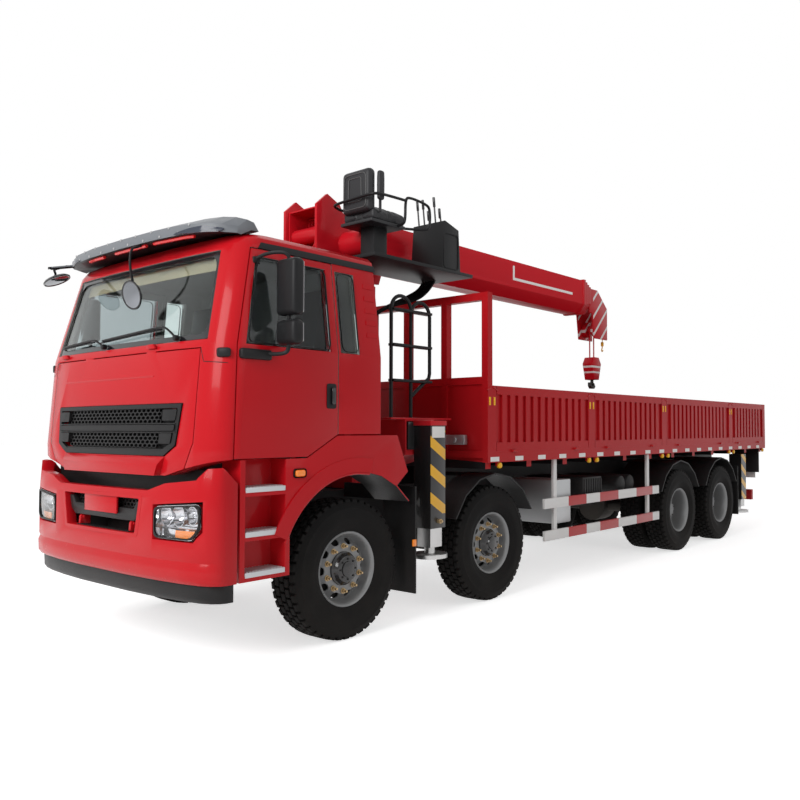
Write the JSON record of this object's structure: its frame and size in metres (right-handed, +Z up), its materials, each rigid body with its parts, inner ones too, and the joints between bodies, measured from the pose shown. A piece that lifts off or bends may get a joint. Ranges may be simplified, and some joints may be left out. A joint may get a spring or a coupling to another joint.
{
  "type": "lorry-mounted crane",
  "caption": "Drop-side lorry with a slewing telescopic crane behind its cab, outriggers, hinged side boards, doors, steering and rolling wheels.",
  "frame": {"origin": "on the ground, below the middle of the vehicle's length and width", "axes": "+X forward, +Y to the vehicle's left, +Z up"},
  "size_m": [10.405, 2.96, 3.78],
  "materials": {
    "red_paint": "gloss",
    "crane_red": "gloss",
    "black_paint": "satin",
    "cast_parts": "rough",
    "tank_metal": "satin",
    "clear_glass": "polished",
    "black_plastic": "grained",
    "grey_plastic": "gloss",
    "lamp_lens": "clear",
    "tyre_rubber": "matt",
    "guard_white": "gloss",
    "leg_stripes": "gloss",
    "rod_chrome": "polished",
    "seat_cover": "grained"
  },
  "bodies": {
    "root": {"chassis_frame": "black_paint", "driveline": "cast_parts", "axles": "cast_parts", "tanks": "tank_metal", "cab_shell": "red_paint", "cab_glass": "clear_glass", "cab_interior": "black_plastic", "bumper": "red_paint", "lamps": "lamp_lens", "fenders": "red_paint", "visor": "grey_plastic", "crane_base": "crane_red", "bed_frame": "red_paint", "ladder": "black_paint", "guard_rails": "guard_white"},
    "front_panel": {"front_panel": "red_paint", "grille": "black_plastic"},
    "door_left": {"door_left": "red_paint", "door_glass_left": "clear_glass", "mirror_left": "black_plastic"},
    "door_right": {"door_right": "red_paint", "door_glass_right": "clear_glass", "mirror_right": "black_plastic"},
    "knuckle_1_left": {"knuckle_1_left": "cast_parts"},
    "wheel_1_left": {"wheel_1_left": "tyre_rubber"},
    "knuckle_1_right": {"knuckle_1_right": "cast_parts"},
    "wheel_1_right": {"wheel_1_right": "tyre_rubber"},
    "knuckle_2_left": {"knuckle_2_left": "cast_parts"},
    "wheel_2_left": {"wheel_2_left": "tyre_rubber"},
    "knuckle_2_right": {"knuckle_2_right": "cast_parts"},
    "wheel_2_right": {"wheel_2_right": "tyre_rubber"},
    "wheel_3_left": {"wheel_3_left": "tyre_rubber"},
    "wheel_3_right": {"wheel_3_right": "tyre_rubber"},
    "wheel_4_left": {"wheel_4_left": "tyre_rubber"},
    "wheel_4_right": {"wheel_4_right": "tyre_rubber"},
    "turret": {"turret": "crane_red", "operator_station": "black_paint", "operator_seat": "seat_cover"},
    "boom_1": {"boom_1": "crane_red"},
    "boom_2": {"boom_2": "crane_red"},
    "boom_3": {"boom_3": "crane_red"},
    "boom_4": {"boom_4": "crane_red"},
    "hook_block": {"hook_block": "crane_red"},
    "luff_barrel": {"luff_barrel": "crane_red"},
    "luff_rod": {"luff_rod": "rod_chrome"},
    "outrigger_beam_left": {"outrigger_beam_left": "leg_stripes"},
    "front_jack_left": {"front_jack_left": "leg_stripes"},
    "rear_jack_left": {"rear_jack_left": "leg_stripes"},
    "outrigger_beam_right": {"outrigger_beam_right": "leg_stripes"},
    "front_jack_right": {"front_jack_right": "leg_stripes"},
    "rear_jack_right": {"rear_jack_right": "leg_stripes"},
    "side_board_1_left": {"side_board_1_left": "red_paint"},
    "side_board_1_right": {"side_board_1_right": "red_paint"},
    "side_board_2_left": {"side_board_2_left": "red_paint"},
    "side_board_2_right": {"side_board_2_right": "red_paint"},
    "side_board_3_left": {"side_board_3_left": "red_paint"},
    "side_board_3_right": {"side_board_3_right": "red_paint"},
    "side_board_4_left": {"side_board_4_left": "red_paint"},
    "side_board_4_right": {"side_board_4_right": "red_paint"},
    "tailgate": {"tailgate": "red_paint"}
  },
  "joints": [
    {"name": "front_panel_hinge", "type": "hinge", "parent": "root", "child": "front_panel", "pos_m": [5.061, 0, 2.1], "axis": [0, -1, 0], "range_deg": [0, 60]},
    {"name": "door_left_hinge", "type": "hinge", "parent": "root", "child": "door_left", "pos_m": [4.93, 1.242, 1.9], "axis": [0, 0, -1], "range_deg": [0, 65]},
    {"name": "door_right_hinge", "type": "hinge", "parent": "root", "child": "door_right", "pos_m": [4.93, -1.242, 1.9], "axis": [0, 0, -1], "range_deg": [-65, 0]},
    {"name": "steer_1_left", "type": "hinge", "parent": "root", "child": "knuckle_1_left", "pos_m": [3.85, 0.897, 0.525], "axis": [0, 0, 1], "range_deg": [-38, 38]},
    {"name": "wheel_1_left_spin", "type": "hinge", "parent": "knuckle_1_left", "child": "wheel_1_left", "pos_m": [3.85, 1.015, 0.525], "axis": [0, 1, 0], "continuous": true},
    {"name": "steer_1_right", "type": "hinge", "parent": "root", "child": "knuckle_1_right", "pos_m": [3.85, -0.897, 0.525], "axis": [0, 0, 1], "range_deg": [-38, 38]},
    {"name": "wheel_1_right_spin", "type": "hinge", "parent": "knuckle_1_right", "child": "wheel_1_right", "pos_m": [3.85, -1.015, 0.525], "axis": [0, 1, 0], "continuous": true},
    {"name": "steer_2_left", "type": "hinge", "parent": "root", "child": "knuckle_2_left", "pos_m": [2.05, 0.897, 0.525], "axis": [0, 0, 1], "range_deg": [-27, 27]},
    {"name": "wheel_2_left_spin", "type": "hinge", "parent": "knuckle_2_left", "child": "wheel_2_left", "pos_m": [2.05, 1.015, 0.525], "axis": [0, 1, 0], "continuous": true},
    {"name": "steer_2_right", "type": "hinge", "parent": "root", "child": "knuckle_2_right", "pos_m": [2.05, -0.897, 0.525], "axis": [0, 0, 1], "range_deg": [-27, 27]},
    {"name": "wheel_2_right_spin", "type": "hinge", "parent": "knuckle_2_right", "child": "wheel_2_right", "pos_m": [2.05, -1.015, 0.525], "axis": [0, 1, 0], "continuous": true},
    {"name": "wheel_3_left_spin", "type": "hinge", "parent": "root", "child": "wheel_3_left", "pos_m": [-1.925, 0.92, 0.525], "axis": [0, 1, 0], "continuous": true},
    {"name": "wheel_3_right_spin", "type": "hinge", "parent": "root", "child": "wheel_3_right", "pos_m": [-1.925, -0.92, 0.525], "axis": [0, 1, 0], "continuous": true},
    {"name": "wheel_4_left_spin", "type": "hinge", "parent": "root", "child": "wheel_4_left", "pos_m": [-3.325, 0.92, 0.525], "axis": [0, 1, 0], "continuous": true},
    {"name": "wheel_4_right_spin", "type": "hinge", "parent": "root", "child": "wheel_4_right", "pos_m": [-3.325, -0.92, 0.525], "axis": [0, 1, 0], "continuous": true},
    {"name": "slew", "type": "hinge", "parent": "root", "child": "turret", "pos_m": [2.87, 0, 1.74], "axis": [0, 0, 1], "continuous": true},
    {"name": "luff", "type": "hinge", "parent": "turret", "child": "boom_1", "pos_m": [3.27, 0, 3.33], "axis": [0, 1, 0], "range_deg": [0, 75]},
    {"name": "telescope_2", "type": "slide", "parent": "boom_1", "child": "boom_2", "axis": [-1, 0, 0], "range_m": [0, 3.8]},
    {"name": "telescope_3", "type": "slide", "parent": "boom_2", "child": "boom_3", "axis": [-1, 0, 0], "range_m": [0, 3.8]},
    {"name": "telescope_4", "type": "slide", "parent": "boom_3", "child": "boom_4", "axis": [-1, 0, 0], "range_m": [0, 3.8]},
    {"name": "hook_swing", "type": "hinge", "parent": "boom_4", "child": "hook_block", "pos_m": [-1.8, 0, 2.96], "axis": [0, -1, 0], "range_deg": [-10, 78]},
    {"name": "luff_barrel_swing", "type": "hinge", "parent": "turret", "child": "luff_barrel", "pos_m": [2.54, 0, 1.83], "axis": [0, 1, 0], "range_deg": [-1, 6]},
    {"name": "luff_rod_slide", "type": "slide", "parent": "luff_barrel", "child": "luff_rod", "axis": [0, 0, 1], "range_m": [0, 0.95]},
    {"name": "outrigger_beam_left_slide", "type": "slide", "parent": "root", "child": "outrigger_beam_left", "axis": [0, 1, 0], "range_m": [0, 1.5]},
    {"name": "front_jack_left_slide", "type": "slide", "parent": "outrigger_beam_left", "child": "front_jack_left", "axis": [0, 0, -1], "range_m": [0, 0.485]},
    {"name": "rear_jack_left_slide", "type": "slide", "parent": "root", "child": "rear_jack_left", "axis": [0, 0, -1], "range_m": [0, 0.295]},
    {"name": "outrigger_beam_right_slide", "type": "slide", "parent": "root", "child": "outrigger_beam_right", "axis": [0, -1, 0], "range_m": [0, 1.5]},
    {"name": "front_jack_right_slide", "type": "slide", "parent": "outrigger_beam_right", "child": "front_jack_right", "axis": [0, 0, -1], "range_m": [0, 0.485]},
    {"name": "rear_jack_right_slide", "type": "slide", "parent": "root", "child": "rear_jack_right", "axis": [0, 0, -1], "range_m": [0, 0.295]},
    {"name": "side_board_1_left_hinge", "type": "hinge", "parent": "root", "child": "side_board_1_left", "pos_m": [0, 1.264, 1.37], "axis": [-1, 0, 0], "range_deg": [0, 175]},
    {"name": "side_board_1_right_hinge", "type": "hinge", "parent": "root", "child": "side_board_1_right", "pos_m": [0, -1.264, 1.37], "axis": [-1, 0, 0], "range_deg": [-175, 0]},
    {"name": "side_board_2_left_hinge", "type": "hinge", "parent": "root", "child": "side_board_2_left", "pos_m": [0, 1.264, 1.37], "axis": [-1, 0, 0], "range_deg": [0, 175]},
    {"name": "side_board_2_right_hinge", "type": "hinge", "parent": "root", "child": "side_board_2_right", "pos_m": [0, -1.264, 1.37], "axis": [-1, 0, 0], "range_deg": [-175, 0]},
    {"name": "side_board_3_left_hinge", "type": "hinge", "parent": "root", "child": "side_board_3_left", "pos_m": [0, 1.264, 1.37], "axis": [-1, 0, 0], "range_deg": [0, 175]},
    {"name": "side_board_3_right_hinge", "type": "hinge", "parent": "root", "child": "side_board_3_right", "pos_m": [0, -1.264, 1.37], "axis": [-1, 0, 0], "range_deg": [-175, 0]},
    {"name": "side_board_4_left_hinge", "type": "hinge", "parent": "root", "child": "side_board_4_left", "pos_m": [0, 1.264, 1.37], "axis": [-1, 0, 0], "range_deg": [0, 175]},
    {"name": "side_board_4_right_hinge", "type": "hinge", "parent": "root", "child": "side_board_4_right", "pos_m": [0, -1.264, 1.37], "axis": [-1, 0, 0], "range_deg": [-175, 0]},
    {"name": "tailgate_hinge", "type": "hinge", "parent": "root", "child": "tailgate", "pos_m": [-5.193, 0, 1.37], "axis": [0, -1, 0], "range_deg": [0, 175]}
  ],
  "couplings": [
    {"joint": "steer_1_right", "follows": "steer_1_left", "ratio": 1},
    {"joint": "steer_2_left", "follows": "steer_1_left", "ratio": 0.7},
    {"joint": "steer_2_right", "follows": "steer_1_left", "ratio": 0.7},
    {"joint": "telescope_3", "follows": "telescope_2", "ratio": 1},
    {"joint": "telescope_4", "follows": "telescope_2", "ratio": 1},
    {"joint": "luff_barrel_swing", "follows": "luff", "ratio": 0.06},
    {"joint": "luff_rod_slide", "follows": "luff", "m_per_rad": 0.72}
  ]
}
